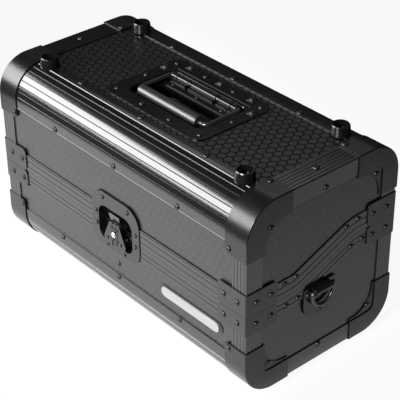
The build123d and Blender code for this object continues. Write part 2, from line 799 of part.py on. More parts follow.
# Carriage, drawn in its released place, hook_travel above its drawn place
pivot_y = carriage_back - hook_knuckle_radius
pivot_z = spindle_z + cam_radius + layer_gap + hook_knuckle_radius + hook_travel
carriage_low = spindle_z - carriage_tail
slot_width = 2 * (spindle_radius + layer_gap)
slot_low = spindle_z - slot_width / 2
slot_high = spindle_z + slot_width / 2 + hook_travel
side_half = hook_half_width
inner_half = side_half - hook_arm_width
mid_half = inner_half - layer_gap
neck_z = pivot_z - hook_knuckle_radius - layer_gap
body_height = neck_z - carriage_low
body_outline = Pos(0, carriage_low + body_height / 2) * Rectangle(2 * carriage_half_width, body_height)
neck_outline = Pos(0, (neck_z + pivot_z) / 2) * Rectangle(2 * mid_half, pivot_z - neck_z + 0.02)
slot_height = slot_high - slot_low
shaft_slot = Pos(0, slot_low + slot_height / 2) * Rot(0, 0, 90) * SlotOverall(slot_height, slot_width)
carriage = along_y(body_outline + neck_outline - shaft_slot, carriage_front, carriage_back)
pin_z = spindle_z + cam_pin_high
carriage += rod((0, carriage_front + 0.5, pin_z), (0, cam_front + 0.1, pin_z), cam_pin_radius)
carriage += rod((-mid_half, pivot_y, pivot_z), (mid_half, pivot_y, pivot_z), hook_knuckle_radius)
carriage -= rod((-side_half, pivot_y, pivot_z), (side_half, pivot_y, pivot_z), hook_pin_radius + running_fit)
parts["latch_carriage"] = carriage


def hook():
    """Hook in its drawn pose, then lifted and tilted to where it rests when released."""
    nose_under = seam_z + keeper_top + keeper_gap
    nose_top = nose_under + hook_nose_t
    drawn_z = pivot_z - hook_travel
    arm_in = keeper_front - keeper_front_gap
    arm_out = arm_in - hook_t
    bend_z = drawn_z + 3.2
    nose_in = keeper_front + hook_overlap
    profile = polygon([
        (arm_out, nose_top), (arm_out, bend_z - 1.5), (pivot_y - 1.6, drawn_z - 0.8),
        (pivot_y + 0.4, drawn_z + 1.6), (arm_in, bend_z), (arm_in, nose_under), (nose_in, nose_under),
        (nose_in, nose_top),
    ])
    corner = profile.vertices().sort_by_distance((arm_out, nose_top))[0]
    profile = fillet(corner, 1.4)
    body = along_x(profile, -side_half, side_half)
    body -= block(-inner_half, inner_half, pivot_y - hook_knuckle_radius - layer_gap, pivot_y + 5,
                  drawn_z - 5, drawn_z + hook_knuckle_radius + layer_gap)
    for x0, x1 in ((-side_half, -inner_half), (inner_half, side_half)):
        body += rod((x0, pivot_y, drawn_z), (x1, pivot_y, drawn_z), hook_knuckle_radius)
    body += rod((-side_half, pivot_y, drawn_z), (side_half, pivot_y, drawn_z), hook_pin_radius)
    body = Pos(0, -pivot_y, -drawn_z) * body
    return Pos(0, pivot_y, pivot_z) * Rot(hook_tilt, 0, 0) * body


keeper_front = plate_y + keeper_setback
parts["latch_hook"] = hook()
keeper_z = seam_z + keeper_top
keeper_dish += block(-keeper_half_width, keeper_half_width, keeper_front, lid_floor_y + 0.5,
                     keeper_z - keeper_t, keeper_z)
parts["keeper_dish"] = keeper_dish

# Badge
badge_z = seam_z - badge_drop
holder = SlotOverall(badge_length + 2 * holder_end, badge_height + 2 * holder_side)
parts["badge_holder"] = along_y(Pos(badge_x, badge_z) * holder, -face_y - holder_t, -face_y)
badge = SlotOverall(badge_length, badge_height)
badge_back = -face_y - holder_t
parts["badge_plate"] = along_y(Pos(badge_x, badge_z) * badge, badge_back - badge_t, badge_back)

# Ring lugs and rings
bar_z = seam_z - lug_bar_drop
lug_face = half_l + lug_plate_t
saddle_radius = ring_wire_radius + running_fit + saddle_wall
bar_x = lug_face + saddle_radius
lug_top = bar_z + saddle_radius + 1.5
lug_low = lug_top - lug_plate_height
lug_outline = Pos(lug_y, (lug_top + lug_low) / 2) * Rectangle(lug_plate_width, lug_plate_height)
for y in (lug_y - lug_plate_width / 2, lug_y + lug_plate_width / 2):
    corner = lug_outline.vertices().sort_by_distance((y, lug_low))[0]
    lug_outline = fillet(corner, lug_plate_width * 0.42)
    corner = lug_outline.vertices().sort_by_distance((y, lug_top))[0]
    lug_outline = fillet(corner, 4)
lug = along_x(lug_outline, half_l, lug_face)
pad = Pos(lug_y, lug_low + 14) * RectangleRounded(30, 18, 6)
lug += along_x(pad, half_l - skin_t, half_l + 0.1)
saddle_half = saddle_width / 2
lug += rod((bar_x, lug_y - saddle_half, bar_z), (bar_x, lug_y + saddle_half, bar_z), saddle_radius)
lug += block(half_l + 0.1, bar_x, lug_y - saddle_half, lug_y + saddle_half, bar_z - saddle_radius + 0.8,
             bar_z + saddle_radius)
lug -= rod((bar_x, lug_y - saddle_half - 1, bar_z), (bar_x, lug_y + saddle_half + 1, bar_z),
           ring_wire_radius + running_fit)
parts["ring_lugs"] = group([lug, flip_x(lug)])


def wire(path, radius):
    """Round wire along a path."""
    plane = Plane(origin=path @ 0, z_dir=path % 0)
    return sweep(plane * Circle(radius), path=path)


arm_z = bar_z - ring_arm
left_y = lug_y - ring_radius
right_y = lug_y + ring_radius
corner_r = ring_corner_radius
ring_path = Wire([
    Line((bar_x, lug_y, bar_z), (bar_x, right_y - corner_r, bar_z)),
    ThreePointArc((bar_x, right_y - corner_r, bar_z),
                  (bar_x, right_y - corner_r * (1 - sqrt(0.5)), bar_z - corner_r * (1 - sqrt(0.5))),
                  (bar_x, right_y, bar_z - corner_r)),
    Line((bar_x, right_y, bar_z - corner_r), (bar_x, right_y, arm_z)),
    ThreePointArc((bar_x, right_y, arm_z), (bar_x, lug_y, arm_z - ring_radius), (bar_x, left_y, arm_z)),
    Line((bar_x, left_y, arm_z), (bar_x, left_y, bar_z - corner_r)),
    ThreePointArc((bar_x, left_y, bar_z - corner_r),
                  (bar_x, left_y + corner_r * (1 - sqrt(0.5)), bar_z - corner_r * (1 - sqrt(0.5))),
                  (bar_x, left_y + corner_r, bar_z)),
    Line((bar_x, left_y + corner_r, bar_z), (bar_x, lug_y, bar_z)),
])
parts["ring_right"] = wire(ring_path, ring_wire_radius)
parts["ring_left"] = flip_x(parts["ring_right"])

# Hinges
hinge_y = half_d + hinge_barrel_radius + hinge_back_clearance
hinge_z = seam_back_z


def hinge_leaf(base):
    """Leaf on the back face with every other knuckle of the barrel."""
    sign = -1 if base else 1
    half = hinge_width / 2
    middle = sign * (hinge_leaf_height + hinge_barrel_radius) / 2
    outline = Pos(0, middle) * Rectangle(hinge_width, hinge_leaf_height - hinge_barrel_radius)
    for x in (-half, half):
        corner = outline.vertices().sort_by_distance((x, sign * hinge_leaf_height))[0]
        outline = fillet(corner, hinge_corner_radius)
    place = Pos(0, hinge_z)
    leaf = along_y(place * outline, half_d, half_d + hinge_leaf_t)
    share = hinge_width / hinge_knuckle_count
    first = 0 if base else 1
    for index in range(first, hinge_knuckle_count, 2):
        x0 = -half + index * share + hinge_knuckle_gap / 2
        x1 = x0 + share - hinge_knuckle_gap
        strip_z = [hinge_z, hinge_z + sign * (hinge_barrel_radius + 0.5)]
        leaf += block(x0, x1, half_d, half_d + hinge_leaf_t, min(strip_z), max(strip_z))
        leaf += rod((x0, hinge_y, hinge_z), (x1, hinge_y, hinge_z), hinge_barrel_radius)
    bore = hinge_pin_radius if base else hinge_pin_radius + running_fit
    return leaf - rod((-half - 1, hinge_y, hinge_z), (half + 1, hinge_y, hinge_z), bore)


base_leaf = hinge_leaf(True)
lid_leaf = hinge_leaf(False)
pin = rod((-hinge_width / 2, hinge_y, hinge_z), (hinge_width / 2, hinge_y, hinge_z), hinge_pin_radius)
shifts = (Pos(-hinge_x, 0, 0), Pos(hinge_x, 0, 0))
parts["base_hinge_leaves"] = group([shift * base_leaf for shift in shifts])
parts["lid_hinge_leaves"] = group([shift * lid_leaf for shift in shifts])
parts["hinge_pins"] = group([shift * pin for shift in shifts])

# Carrying handle
plate_top = top_z - skin_t + handle_plate_t
tray_z = plate_top - tray_depth
well_z = plate_top - well_depth
tray_mid = (tray_front + tray_back) / 2
well_mid = (well_front + well_back) / 2


def tray_face(grow):
    return Pos(0, tray_mid) * RectangleRounded(2 * (tray_half + grow), tray_back - tray_front + 2 * grow,
                                               tray_radius + grow)


def well_solid(grow, top, bottom):
    """Deep well, narrower towards its floor."""
    face = Pos(0, well_mid) * RectangleRounded(2 * (well_half + grow), well_back - well_front + 2 * grow,
                                               well_radius + grow)
    return extrude(Plane.XY.offset(top) * face, amount=top - bottom, dir=(0, 0, -1), taper=well_taper)


handle_face = Pos(0, handle_y) * RectangleRounded(handle_length, handle_width, handle_plate_radius)
handle_dish = along_z(handle_face, top_z - skin_t, plate_top)
handle_dish += along_z(tray_face(dish_sheet), tray_z - dish_sheet, plate_top - 0.1)
handle_dish += well_solid(dish_sheet, tray_z - dish_sheet + 0.01, well_z - dish_sheet)
tray_hollow = along_z(tray_face(0), tray_z, plate_top)
tray_lead = extrude(Plane.XY.offset(plate_top - tray_edge_radius) * tray_face(0),
                    amount=tray_edge_radius + 0.5, dir=(0, 0, 1), taper=-45)
handle_dish -= tray_hollow + tray_lead
handle_dish -= well_solid(0, tray_z + 0.01, well_z)
bead = Pos(0, handle_back - bead_inset) * SlotOverall(bead_length, bead_width)
handle_dish += along_z(bead, plate_top - 0.1, plate_top + bead_height)
parts["handle_dish"] = handle_dish
parts["top_panel"] -= along_z(tray_face(dish_sheet + dish_fit), top_z - 2 * channel, top_z)

barrel_radius = bail_wire_radius + running_fit + strip_wall
bail_z = tray_z + barrel_radius
strip = block(-strip_end, strip_end, strip_front, bail_pivot_y, tray_z, tray_z + strip_wall)
strip += rod((-strip_end, bail_pivot_y, bail_z), (strip_end, bail_pivot_y, bail_z), barrel_radius)
strip += block(-strip_end, strip_end, bail_pivot_y - 2 * barrel_radius, bail_pivot_y,
               tray_z, tray_z + strip_step)
cut_back = bail_pivot_y + 2 * barrel_radius
cut_front = bail_pivot_y - 2 * barrel_radius - 0.01
for side in (-1, 1):
    for start, end in ((strip_spring_start, strip_spring_end), (strip_slit, strip_slit + strip_slit_width)):
        low, high = sorted((side * start, side * end))
        strip -= block(low, high, cut_front, cut_back, tray_z - 1, plate_top + barrel_radius)
strip -= rod((-strip_end - 1, bail_pivot_y, bail_z), (strip_end + 1, bail_pivot_y, bail_z),
             bail_wire_radius + running_fit)
parts["handle_strip"] = strip


def bail_half():
    """Right half of the bail's wire, from the grip's middle to the end of its stub."""
    x = bail_half_width
    front = bail_front_radius
    rear = bail_rear_radius
    bow = 1 - sqrt(0.5)
    y0 = bail_grip_y
    y1 = bail_pivot_y
    z = bail_z
    return Wire([
        Line((0, y0, z), (x - front, y0, z)),
        ThreePointArc((x - front, y0, z), (x - front * bow, y0 + front * bow, z), (x, y0 + front, z)),
        Line((x, y0 + front, z), (x, y1 - rear, z)),
        ThreePointArc((x, y1 - rear, z), (x - rear * bow, y1 - rear * bow, z), (x - rear, y1, z)),
        Line((x - rear, y1, z), (bail_stub_end, y1, z)),
    ])


right_bail = wire(bail_half(), bail_wire_radius)
parts["bail"] = right_bail + flip_x(right_bail)
grip = rod((-grip_half_length, 0, 0), (grip_half_length, 0, 0), grip_radius)
grip = fillet(grip.edges().filter_by(GeomType.CIRCLE), 1.5)
grip -= rod((-grip_half_length - 1, 0, 0), (grip_half_length + 1, 0, 0), bail_wire_radius)
parts["grip"] = Pos(grip_slide, bail_grip_y, bail_z) * grip


def coil_wire(radius, pitch, turns):
    """Centre line of a coil about Z, each quarter turn a pair of tangent arcs."""
    def place(turn):
        angle = 2 * pi * turn
        return Vector(radius * cos(angle), radius * sin(angle), pitch * turn)

    def heading(turn):
        angle = 2 * pi * turn
        return Vector(-radius * sin(angle), radius * cos(angle), pitch / (2 * pi)).normalized()

    arcs = []
    for quarter in range(4 * turns):
        start, end = quarter / 4, (quarter + 1) / 4
        span = place(end) - place(start)
        spread = 2 - 2 * heading(start).dot(heading(end))
        lean = span.dot(heading(start) + heading(end))
        reach = (sqrt(lean**2 + spread * span.dot(span)) - lean) / spread
        middle = (place(start) + heading(start) * reach + place(end) - heading(end) * reach) / 2
        turned = (middle - place(start)).dot(heading(start)) * 2
        halfway = (middle - place(start)) * (turned / (middle - place(start)).length ** 2) - heading(start)
        arcs.append(TangentArc(place(start), middle, tangent=heading(start)))
        arcs.append(TangentArc(middle, place(end), tangent=halfway))
    return Wire(arcs)


spring_radius = bail_wire_radius + spring_gap + spring_wire_radius
coil_path = coil_wire(spring_radius, spring_pitch, spring_turns)
coil = wire(coil_path, spring_wire_radius)
coil_points = [coil_path @ (index / 240) for index in range(241)]
half_turn = 120 // spring_turns
apart = min((coil_points[one] - coil_points[other]).length
            for one in range(241) for other in range(one + half_turn, 241))
print("least gap between the spring's turns:", round(apart - 2 * spring_wire_radius, 2), "mm")
coil_x = (strip_spring_start + strip_spring_end) / 2 - spring_turns * spring_pitch / 2
spring = Pos(coil_x, bail_pivot_y, bail_z) * Rot(0, 90, 0) * coil
parts["handle_springs"] = group([spring, flip_x(spring)])

# Feet and stacking cups
shell_solid = along_x(envelope(0, edge_radius), -half_l, half_l)


def foot():
    profile = polygon([(foot_bore_radius, 0), (foot_tip_radius - 1, 0), (foot_tip_radius, 1),
                       (foot_radius, base_z), (foot_radius, base_z + 4), (0, base_z + 4),
                       (0, foot_bore_depth), (foot_bore_radius, foot_bore_depth)])
    solid = revolve(Plane.XZ * profile, Axis.Z)
    return Pos(foot_x, -foot_y, 0) * solid - shell_solid


def cup():
    rim_z = top_z + cup_height
    floor_z = rim_z - cup_bore_depth
    screw_r = screw_radius + screw_recess_play
    profile = polygon([(0, top_z - 4), (foot_radius, top_z - 4), (foot_radius, top_z + 2.5),
                       (cup_rim_radius, rim_z - 1.2), (cup_rim_radius - 0.8, rim_z), (cup_bore_radius, rim_z),
                       (cup_bore_radius, floor_z), (screw_r, floor_z), (screw_r, floor_z - screw_height),
                       (0, floor_z - screw_height)])
    solid = revolve(Plane.XZ * profile, Axis.Z)
    return Pos(foot_x, -foot_y, 0) * solid - shell_solid


foot_one = foot()
foot_two = flip_y(foot_one)
parts["feet"] = group([foot_one, flip_x(foot_one), foot_two, flip_x(foot_two)])
cup_one = cup()
cup_two = flip_y(cup_one)
parts["stacking_cups"] = group([cup_one, flip_x(cup_one), cup_two, flip_x(cup_two)])
screw_z = top_z + cup_height - cup_bore_depth - screw_height
parts["cup_screws"] = group([rivet((x, y, screw_z), (0, 0, 1), screw_radius, screw_height)
                             for x in (-foot_x, foot_x) for y in (-foot_y, foot_y)])


def climb_point(base, y):
    """Point on the climbing rim at a given Y, at the rivets' offset from the joint."""
    curve = seam_curve(base_climb_offset if base else lid_climb_offset)
    places = [curve @ (step / 600) for step in range(601)]
    near = min(places, key=lambda place: abs(place.X - y))
    return (half_l, near.X, near.Y)


def both_ends(shapes):
    return shapes + [flip_x(shape) for shape in shapes]


def shell_rivets():
    """Heads on the base's extrusions, end angles and corner caps; the lid's are their mirror image."""
    heads = []
    for x in (-rivet_span, 0, rivet_span):
        heads.append(rivet((x, -half_d, base_z + rivet_side), (0, -1, 0)))
        heads.append(rivet((x, half_d, base_z + rivet_side), (0, 1, 0)))
        heads.append(rivet((x, -half_d + rivet_flat, base_z), (0, 0, -1)))
        heads.append(rivet((x, half_d - rivet_flat, base_z), (0, 0, -1)))
    right = [rivet((half_l, 0, base_z + angle_rivet_face), (1, 0, 0)),
             rivet((half_l - angle_rivet_flat, 0, base_z), (0, 0, -1))]
    for side in (-1, 1):
        outside = half_d + cap_t
        right.append(rivet((cap_rivet_x, side * outside, base_z + cap_rivet_side), (0, side, 0)))
        right.append(rivet((cap_rivet_x, side * (half_d - cap_rivet_side), base_z - cap_t), (0, 0, -1)))
        right.append(rivet((half_l, side * (half_d - cap_rivet_web), base_z + cap_rivet_web), (1, 0, 0)))
    return heads + both_ends(right)


def joint_rivets(base):
    """Heads on the right brackets and the climbing rim of one shell."""
    heads = []
    offset = -bracket_rivet_base if base else bracket_rivet_lid
    for side, level in ((-1, seam_z), (1, seam_back_z)):
        for reach in bracket_rivets:
            heads.append(rivet((half_l - reach, side * (half_d + bracket_t), level + offset), (0, side, 0)))
            heads.append(rivet((half_l + bracket_t, side * (half_d - reach), level + offset), (1, 0, 0)))
    for share in base_climb_rivets if base else lid_climb_rivets:
        heads.append(rivet(climb_point(base, share * case_depth), (1, 0, 0)))
    return both_ends(heads)


def hinge_rivets(sign):
    heads = []
    for middle in (-hinge_x, hinge_x):
        for x, drop in ((-hinge_width / 3, 0.72), (hinge_width / 3, 0.72), (0, 0.4)):
            place = (middle + x, half_d + hinge_leaf_t, hinge_z + sign * drop * hinge_leaf_height)
            heads.append(rivet(place, (0, 1, 0), small_rivet))
    return heads


base_heads = shell_rivets()
lid_heads = [flip_z(head) for head in base_heads] + joint_rivets(False) + hinge_rivets(1)
base_heads += joint_rivets(True) + hinge_rivets(-1)
side_x = (latch_half_width + dish_half_width) / 2
for x, drop, radius in ((side_x - 2, 5, small_rivet), (dish_half_width / 2, latch_bottom - 4, foot_rivet)):
    base_heads += both_ends([rivet((x, plate_y, seam_z - drop), (0, -1, 0), radius)])
for x, climb in ((side_x - 1, 12.5), (side_x - 15.5, latch_top - 8.5)):
    lid_heads += both_ends([rivet((x, plate_y, seam_z + climb), (0, -1, 0), small_rivet)])
base_heads.append(rivet((0, -face_y, seam_z - latch_bottom - 19), (0, -1, 0), small_rivet))
lug_heads = [rivet((lug_face, lug_y + y, lug_top - drop), (1, 0, 0), small_rivet)
             for y, drop in ((-20.5, 9), (20.5, 9), (0, lug_plate_height - 7))]
base_heads += both_ends(lug_heads)
parts["base_rivets"] = group(base_heads)

# Heads on the handle's dish; the larger ones sit on square washers
handle_half = handle_length / 2


def washer_rivet(x, y):
    half = washer / 2
    square = block(x - half, x + half, y - half, y + half, plate_top, plate_top + washer_t)
    return square + rivet((x, y, plate_top + washer_t), (0, 0, 1))


small_places = [(handle_half - 8, handle_y), (handle_half - 11, handle_front + 12.5), (26, handle_front + 10),
                (handle_half - 11, handle_back - 12.5), (26, handle_back - 10)]
handle_heads = [rivet((x, y, plate_top), (0, 0, 1), small_rivet) for x, y in small_places]
handle_heads.append(washer_rivet(handle_half - 8, handle_back - 29.5))
handle_heads.append(washer_rivet(handle_half - 32, handle_back - 7))
lid_heads += both_ends(handle_heads)
lid_heads.append(washer_rivet(0, handle_back - 7.5))
for x in (-45, 0, 45):
    lid_heads.append(rivet((x, strip_front + 5.5, tray_z + strip_wall), (0, 0, 1), strip_rivet, 1.2))
parts["lid_rivets"] = group(lid_heads)

# Foam lining
lip_end = edge_radius + lip_length + foam_gap
floor_y = inside_y - lip_length - foam_gap
wall_y = face_y - panel_t
end_x = panel_x - foam_gap
low_z = board_high
pads = [block(-end_x, end_x, -floor_y, floor_y, low_z, low_z + foam_t)]
front_top = seam_z - web_edge - lip_length - foam_gap
back_top = seam_back_z - web_edge - lip_length - foam_gap
wall_end = panel_x - foam_t - foam_gap
notch = dish_half_width + dish_wall + dish_fit + 1
front_pad = block(-wall_end, wall_end, -wall_y, -wall_y + foam_t, base_z + lip_end, front_top)
front_pad -= block(-notch, notch, -wall_y - 1, 0, seam_z - dish_bottom - 3, front_top + 1)
pads.append(front_pad)
pads.append(block(-wall_end, wall_end, wall_y - foam_t, wall_y, base_z + lip_end, back_top))
for x0 in (panel_x - foam_t, -panel_x):
    pads.append(block(x0, x0 + foam_t, -floor_y, floor_y, low_z + foam_t + foam_gap, front_top))
parts["base_lining"] = group(pads)
roof = flip_z(block(-end_x, end_x, -floor_y, floor_y, board_high, board_high + foam_t))
well_gap = Pos(0, well_mid) * RectangleRounded(2 * well_half + 6, well_back - well_front + 6, well_radius)
roof -= along_z(well_gap, top_z - 30, top_z)
parts["lid_lining"] = roof

for name, shape in parts.items():
    export_step(shape, f"parts/{name}.step")
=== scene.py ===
"""Looks of the record case: black hardware, grooved extrusions and boards embossed with hexagons.

Values are millimetres, except for the floor's radius, the lamps, the camera and the depths of bumps,
which are in metres as the frame is.
"""
import math

import bpy
import bmesh
from mathutils import Matrix, Vector


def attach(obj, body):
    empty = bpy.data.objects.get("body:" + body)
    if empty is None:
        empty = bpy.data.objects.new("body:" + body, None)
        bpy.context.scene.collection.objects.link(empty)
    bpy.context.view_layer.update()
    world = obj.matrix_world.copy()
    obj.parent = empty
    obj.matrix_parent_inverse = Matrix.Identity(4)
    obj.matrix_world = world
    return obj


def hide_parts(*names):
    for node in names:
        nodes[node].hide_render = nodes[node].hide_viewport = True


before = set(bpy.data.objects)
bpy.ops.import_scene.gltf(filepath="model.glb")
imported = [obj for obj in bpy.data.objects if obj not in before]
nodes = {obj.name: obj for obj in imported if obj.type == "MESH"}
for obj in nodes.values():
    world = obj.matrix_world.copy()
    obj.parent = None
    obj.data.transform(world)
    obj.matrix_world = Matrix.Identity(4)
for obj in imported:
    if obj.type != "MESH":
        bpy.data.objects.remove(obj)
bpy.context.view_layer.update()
MM = 0.001
merge_distance = 1e-6                  # metres, below which two points are one

# The case
case_half_length = 236.0
case_half_depth = 120.0
rim_edges = (110.2, 154.4)             # heights at which the front boards meet the joint rims, each with a painted shadow line beside it
rim_grooves = (115.0, 122.0, 137.0, 145.5, 152.0, 159.0, 174.0, 182.5)     # heights on front and back
highlight_line_height = 218.8                      # height of the painted highlight line on the lid's long extrusions
spindle_height = 125.0
bare_cap_front = -124.0                # Y of the spindle's domed cap, which is bare in front of it
cup_screw_x = 184.0
cup_screw_y = 75.5

# Embossed hexagons
hexagon_pitch = 11.6                   # from one hexagon's middle to the next, across the flats
hexagon_flat = 0.40                    # half width of the raised face, as a share of the pitch
hexagon_foot = 0.455                   # where its side ends, as a share of the pitch
rib_pitch = 2.3                        # fine ribs on each hexagon

# Lines along the case
rim_shadow_half = 0.35                   # half width of the painted shadow line beside a rim
groove_half = 0.75
# half width of a painted highlight line
highlight_half = 0.3
line_fade = 0.2                        # soft edge of every line

# Struck cross of each cup's screw
cross_reach = 2.0                      # from the middle to the end of an arm's floor
cross_end = 2.4                        # to the top of the slope behind it
cross_half = 0.45                      # half width of an arm's floor
cross_side = 0.7                       # to the top of the slope beside it

# Rivets and the square washers under some of them
washer_least = 10.5                    # a plain head wider than this stands for washer and rivet
washer_width = 11.0
washer_thickness = 0.8
washer_corner = 0.09                   # this and the next three are shares of the washer's width
washer_side = 0.055
washer_chamfer = 0.018
washer_top = 0.96
washer_rivet_radius = 4.2
level_play = 2e-4                      # metres, between points that count as level
dome_sides = 20
dome_top = 0.475                       # height of the dome, as a share of the radius
dome_rings = [(1.0, 0.10), (0.94, 0.22), (0.84, 0.34), (0.66, 0.43),       # radius and height of each
              (0.42, dome_top), (0.20, 0.47), (0.14, 0.42)]

# Foam
foam_edge = 1.6                        # rolled edge
foam_flat_angle = 0.02                 # radians, below which neighbouring faces are one

# Tongue of the spindle's boss, between the wings
boss_width = 6.4
boss_height = 31.5
boss_thickness = 1.2
boss_corner = 2.2
boss_inset = 0.35
boss_back = -121.75                    # Y of its back


# Shader maths

class Val:
    """A socket that takes part in Python arithmetic, each step adding its Math node."""

    def __init__(self, shader, socket):
        self.shader = shader
        self.socket = socket

    def output(self, which):
        """Another output of the node that this value comes from."""
        return Val(self.shader, self.socket.node.outputs[which])

    def math(self, operation, *others, flipped=False):
        values = [self, *others]
        if flipped:
            values.reverse()
        return self.shader.add("ShaderNodeMath", {"operation": operation}, dict(enumerate(values)))

    def __add__(self, other):
        return self.math("ADD", other)

    __radd__ = __add__

    def __sub__(self, other):
        return self.math("SUBTRACT", other)

    def __rsub__(self, other):
        return self.math("SUBTRACT", other, flipped=True)

    def __mul__(self, other):
        return self.math("MULTIPLY", other)

    __rmul__ = __mul__

    def abs(self):
        return self.math("ABSOLUTE")

    def sin(self):
        return self.math("SINE")

    def mod(self, period):
        return self.math("FLOORED_MODULO", period)

    def max(self, other):
        return self.math("MAXIMUM", other)

    def min(self, other):
        return self.math("MINIMUM", other)

    def step(self, low, high):
        """0 below low, 1 above high, smooth between."""
        return self.shader.add("ShaderNodeMapRange", {"interpolation_type": "SMOOTHSTEP"},
                               {0: self, 1: low, 2: high, 3: 0.0, 4: 1.0})


class Shader:
    """The node tree of one material or world, built from node types, their settings and their inputs."""

    def __init__(self, owner, output="ShaderNodeOutputMaterial"):
        self.owner = owner
        owner.use_nodes = True
        self.tree = owner.node_tree
        self.tree.nodes.clear()
        self.end = self.tree.nodes.new(output)

    def add(self, kind, settings=None, inputs=None, out=0):
        node = self.tree.nodes.new(kind)
        for key, value in (settings or {}).items():
            setattr(node, key, value)
        for key, value in (inputs or {}).items():
            self.feed(node.inputs[key], value)
        return Val(self, node.outputs[out])

    def feed(self, socket, value):
        if isinstance(value, Val):
            self.tree.links.new(value.socket, socket)
        else:
            socket.default_value = value

    def place(self):
        """Object coordinates in millimetres, as three values."""
        point = self.add("ShaderNodeTexCoord", out="Object")
        split = self.add("ShaderNodeSeparateXYZ", None, {0: point})
        return [split.output(axis) * 1000.0 for axis in range(3)]

    def noise(self, scale, detail, stretch=(1, 1, 1)):
        """Noise from 0 to 1 about 0.5; scale is in lumps per millimetre."""
        stretched = [value * times for value, times in zip(self.place(), stretch)]
        vector = self.add("ShaderNodeCombineXYZ", None, dict(enumerate(stretched)))
        return self.add("ShaderNodeTexNoise", None, {"Vector": vector, "Scale": scale, "Detail": detail})

    def blend(self, share, low, high):
        """Colour between two, each a tuple or a value."""
        def four(colour):
            return (*colour, 1) if isinstance(colour, tuple) else colour
        inputs = {0: share, 6: four(low), 7: four(high)}
        return self.add("ShaderNodeMix", {"data_type": "RGBA"}, inputs, out=2)

    def lines(self, value, centres, half):
        """1 within half of any of the centres, else 0."""
        found = 0.0
        for centre in centres:
            near = 1.0 - (value - centre).abs().step(half, half + line_fade)
            found = near.max(found)
        return found

    def bump(self, height, distance, strength):
        inputs = {"Height": height, "Distance": distance, "Strength": strength}
        return self.add("ShaderNodeBump", None, inputs)

    def skin(self, **inputs):
        names = {key.replace("_", " "): value for key, value in inputs.items()}
        return self.add("ShaderNodeBsdfPrincipled", None, names)

    def mixed(self, share, one, other):
        return self.add("ShaderNodeMixShader", None, {0: share, 1: one, 2: other})

    def close(self, surface):
        self.feed(self.end.inputs[0], surface)
        return self.owner

    def finish(self, **inputs):
        return self.close(self.skin(**inputs))


def new_material(name):
    return Shader(bpy.data.materials.new(name))


def grey(level, blue=1.0):
    return (level, level, level * blue)


# Materials

def honeycomb(name, across, up, deep, gap_gloss, ribbed, shadow_lines=()):
    """Black laminate embossed with ribbed hexagons; across and up are the axes of the board's plane."""
    s = new_material(name)
    axes = s.place()
    u = axes[across]
    v = axes[up]
    row = hexagon_pitch * math.sqrt(3)

    def off_centre(shift):
        """How far a point is from the middle of its hexagon, square to the nearest side."""
        a = ((u + shift * hexagon_pitch).mod(hexagon_pitch) - hexagon_pitch / 2).abs()
        b = ((v + shift * row).mod(row) - row / 2).abs()
        return a.max(a * 0.5 + b * (math.sqrt(3) / 2))

    reach = off_centre(0.0).min(off_centre(0.5))
    inside = 1.0 - reach.step(hexagon_pitch * hexagon_flat, hexagon_pitch * hexagon_foot)
    ribs = (u * (2 * math.pi / rib_pitch)).sin() * 0.5 + 0.5
    grain = s.noise(1.4, 5.0)
    cloud = s.noise(0.02, 2.0)
    height = inside * (0.75 + ribs * 0.25) + grain * 0.12
    colour = s.blend(ribs * 0.7 + grain * 0.3, grey(0.003), grey(0.0065))
    rough = 0.30 + (cloud - 0.5) * 0.06 + (grain - 0.5) * 0.08
    normal = s.bump(height, deep, 0.9)
    face = s.skin(Base_Color=colour, Roughness=rough, Specular_IOR_Level=0.95, Normal=normal)
    gap = s.skin(Base_Color=(*grey(0.002), 1), Roughness=rough, Specular_IOR_Level=gap_gloss, Normal=normal)
    board = s.mixed(inside * (1.0 - (1.0 - ribs) * ribbed), gap, face)
    # painted shadow: a black, dull line beside each rim, where the board meets it
    if shadow_lines:
        dark = s.skin(Base_Color=(*grey(0.001), 1), Roughness=1.0, Specular_IOR_Level=0.1)
        board = s.mixed(s.lines(v, shadow_lines, rim_shadow_half), board, dark)
    return s.close(board)


def anodised(name, along, dull=(), highlight_lines=()):
    """Black anodised metal, drawn along one axis, with dull grooves and painted highlight lines at given
    heights.
    """
    s = new_material(name)
    stretch = [2.2, 2.2, 2.2]
    stretch[along] = 0.012
    draws = s.noise(1.0, 6.0, stretch)
    cloud = s.noise(0.012, 3.0)
    colour = s.blend((draws - 0.35) * 1.6, (0.0025, 0.0025, 0.0026), (0.0065, 0.0065, 0.0068))
    roughness = 0.16 + (draws - 0.5) * 0.05 + (cloud - 0.5) * 0.06
    height = s.place()[2]
    if dull:
        roughness = roughness + s.lines(height, dull, groove_half)
    if highlight_lines:
        # painted highlight: a pale grey line at each given height
        colour = s.blend(s.lines(height, highlight_lines, highlight_half), colour, grey(0.16))
    return s.finish(Base_Color=colour, Roughness=roughness, Specular_IOR_Level=1.0,
                    Normal=s.bump(draws, 0.00001, 0.4))


def coated(name, level, rough, gloss):
    """Black satin coating on pressed steel, a little uneven, rubbed brighter in places."""
    s = new_material(name)
    peel = s.noise(0.9, 4.0)
    cloud = s.noise(0.03, 4.0)
    rub = s.noise(0.11, 6.0).step(0.62, 0.78)
    colour = s.blend(rub * 0.35, grey(level, 1.02), (level * 2.4, level * 2.4, level * 2.5))
    roughness = rough + (cloud - 0.5) * 0.16 - rub * 0.05
    return s.finish(Base_Color=colour, Roughness=roughness, Specular_IOR_Level=gloss,
                    Normal=s.bump(peel, 0.00004, 0.5))


def plated(name, level, rough):
    """Plated or bare steel with fine handling scratches."""
    s = new_material(name)
    scratch = s.noise(1.2, 8.0, (1, 6, 1))
    cloud = s.noise(0.08, 3.0)
    colour = s.blend(cloud, grey(level * 0.85), grey(level * 1.1))
    roughness = rough + (scratch - 0.5) * 0.25
    return s.finish(Base_Color=colour, Roughness=roughness, Metallic=1.0,
                    Normal=s.bump(scratch, 0.00002, 0.4))


